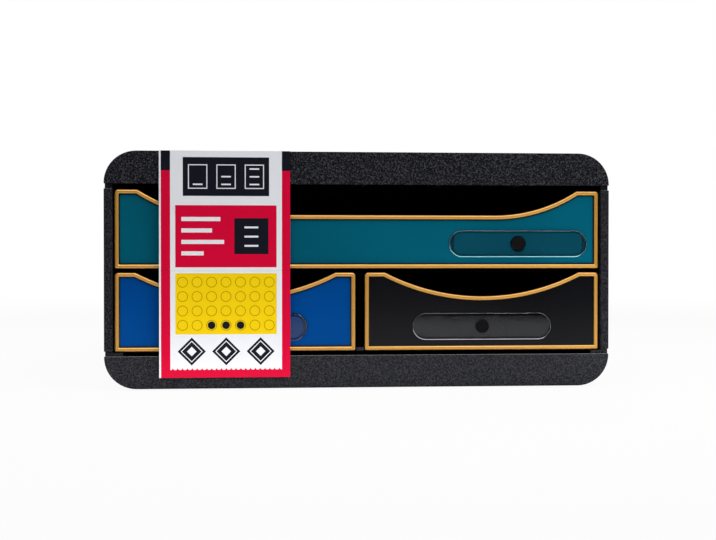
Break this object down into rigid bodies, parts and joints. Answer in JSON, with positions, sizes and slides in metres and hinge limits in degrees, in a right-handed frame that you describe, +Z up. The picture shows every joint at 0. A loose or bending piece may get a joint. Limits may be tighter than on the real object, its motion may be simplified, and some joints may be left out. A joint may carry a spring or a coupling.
{
  "type": "desktop drawer unit",
  "caption": "Low black desktop drawer unit: one wide drawer over two half-width ones, gold-rimmed teal, blue and black fronts with scooped notches and clear label holders.",
  "frame": {"origin": "centre of the footprint, on the surface that the feet stand on", "axes": "+Z up, -Y out of the drawers, +X to the right as seen from the front"},
  "size_m": [0.278, 0.3485, 0.13],
  "materials": {
    "casing_plastic": "grained black moulding, matt",
    "side_plastic": "finely textured black moulding, matt",
    "inner_plastic": "plain black moulding, satin",
    "tray_plastic": "plain black moulding, satin",
    "foot_rubber": "matt",
    "teal_panel": "deep teal, high gloss",
    "blue_panel": "deep blue, high gloss",
    "black_panel": "black, high gloss",
    "gold_rim": "gold lacquer on a rounded bead",
    "clear_holder": "clear moulded plastic",
    "printed_card": "coated card printed in crimson, white, yellow and black"
  },
  "bodies": {
    "casing": {"top_cap": "casing_plastic", "base_cap": "casing_plastic", "left_side_panel": "side_plastic", "right_side_panel": "side_plastic", "back_panel": "inner_plastic", "mid_shelf": "inner_plastic", "centre_divider": "inner_plastic", "foot_front_left": "foot_rubber", "foot_front_right": "foot_rubber", "foot_rear_left": "foot_rubber", "foot_rear_right": "foot_rubber"},
    "top_drawer": {"top_tray": "tray_plastic", "top_front_panel": "teal_panel", "top_rim": "gold_rim", "top_label_holder": "clear_holder", "upper_label_card": "printed_card"},
    "lower_left_drawer": {"lower_left_tray": "tray_plastic", "lower_left_front_panel": "blue_panel", "lower_left_rim": "gold_rim", "lower_left_label_holder": "clear_holder", "lower_label_card": "printed_card"},
    "lower_right_drawer": {"lower_right_tray": "tray_plastic", "lower_right_front_panel": "black_panel", "lower_right_rim": "gold_rim", "lower_right_label_holder": "clear_holder"}
  },
  "joints": [
    {"name": "top_drawer_slide", "type": "slide", "parent": "casing", "child": "top_drawer", "axis": [0, -1, 0], "range_m": [0, 0.255]},
    {"name": "lower_left_drawer_slide", "type": "slide", "parent": "casing", "child": "lower_left_drawer", "axis": [0, -1, 0], "range_m": [0, 0.255]},
    {"name": "lower_right_drawer_slide", "type": "slide", "parent": "casing", "child": "lower_right_drawer", "axis": [0, -1, 0], "range_m": [0, 0.255]}
  ]
}
